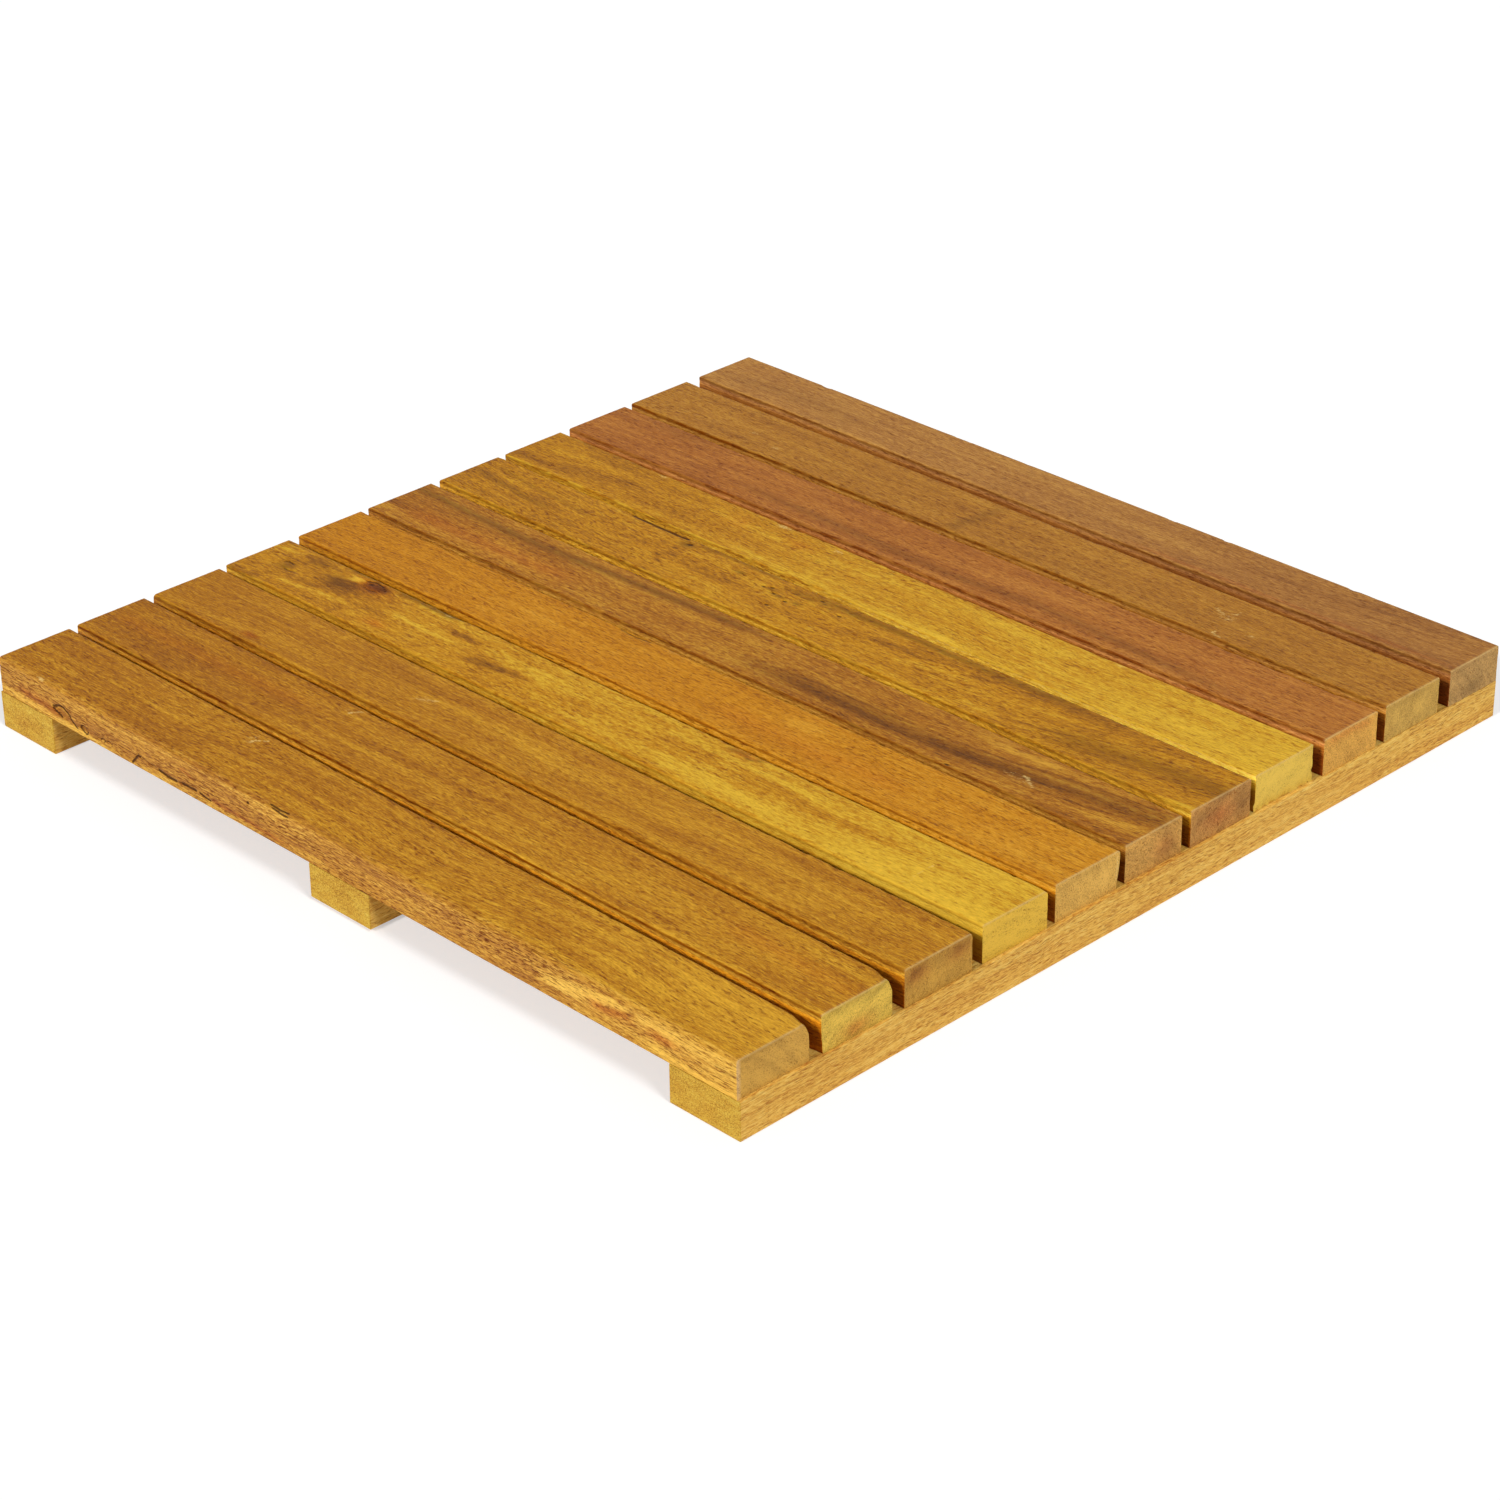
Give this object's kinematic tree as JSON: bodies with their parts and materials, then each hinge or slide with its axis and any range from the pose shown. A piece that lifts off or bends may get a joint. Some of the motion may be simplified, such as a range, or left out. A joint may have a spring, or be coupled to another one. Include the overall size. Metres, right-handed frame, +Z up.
{
  "type": "slatted wooden deck tile",
  "caption": "Square hardwood deck tile: parallel slats with drain gaps, screwed from below onto cross battens.",
  "frame": {"origin": "centre of the footprint, on the surface the tile stands on", "axes": "+X along the slats, +Y across them, +Z up through the deck's top face"},
  "size_m": [0.5, 0.5, 0.038],
  "materials": {
    "slat_wood": "oiled, satin",
    "batten_wood": "oiled, satin",
    "screw_steel": "yellow zinc plated"
  },
  "bodies": {
    "root": {"slat_01": "slat_wood", "slat_02": "slat_wood", "slat_03": "slat_wood", "slat_04": "slat_wood", "slat_05": "slat_wood", "slat_06": "slat_wood", "slat_07": "slat_wood", "slat_08": "slat_wood", "slat_09": "slat_wood", "slat_10": "slat_wood", "slat_11": "slat_wood", "batten_left": "batten_wood", "batten_middle": "batten_wood", "batten_right": "batten_wood", "slat_screws": "screw_steel"}
  },
  "joints": []
}
